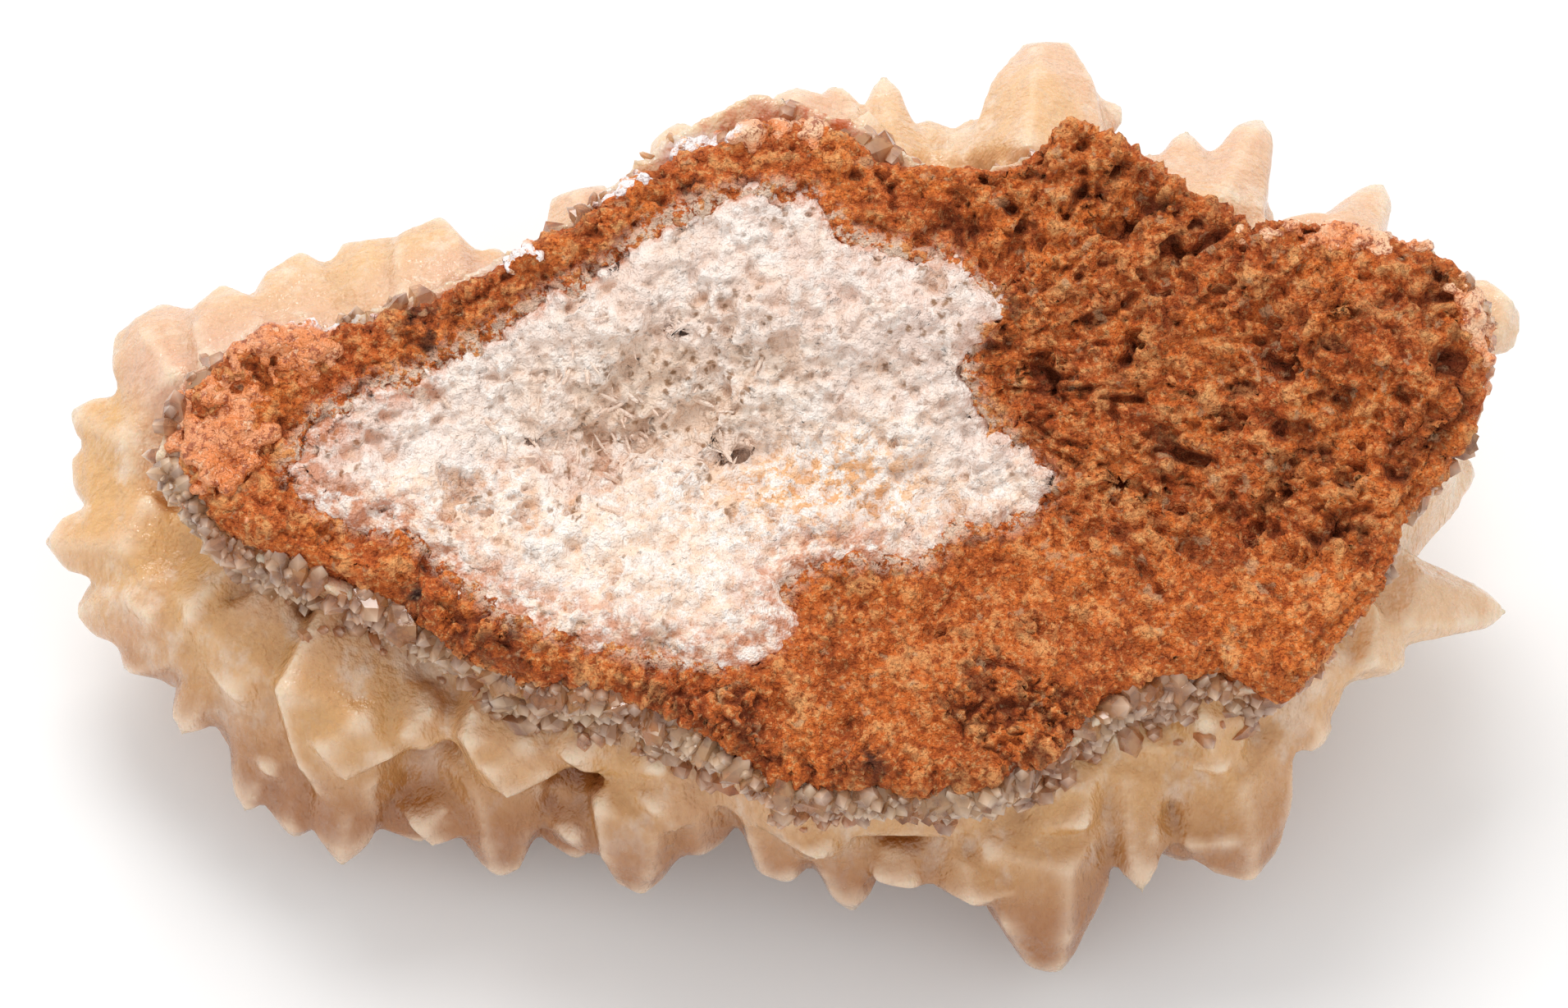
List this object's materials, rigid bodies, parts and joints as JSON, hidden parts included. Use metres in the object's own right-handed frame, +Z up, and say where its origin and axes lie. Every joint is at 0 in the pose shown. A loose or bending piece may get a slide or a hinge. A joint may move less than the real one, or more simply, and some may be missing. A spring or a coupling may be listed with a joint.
{
  "type": "dogtooth calcite specimen",
  "caption": "Cluster of dogtooth calcite crystals on rusty rock, lying on its crystals with the broken back of the rock facing up.",
  "frame": {"origin": "middle of the bounding box, on the surface that the specimen lies on", "axes": "+X along the specimen's length, +Y away from the side that the picture was taken from, +Z up, out of the broken back"},
  "size_m": [0.0938, 0.0578, 0.0363],
  "materials": {
    "honey_calcite": "waxy, translucent crystals",
    "rusty_rock": "rough, porous, iron-stained rock",
    "white_calcite": "rough, sugary white calcite"
  },
  "bodies": {
    "root": {"dogtooth_crust": "honey_calcite", "iron_stained_matrix": "rusty_rock", "white_calcite_core": "white_calcite"}
  },
  "joints": []
}
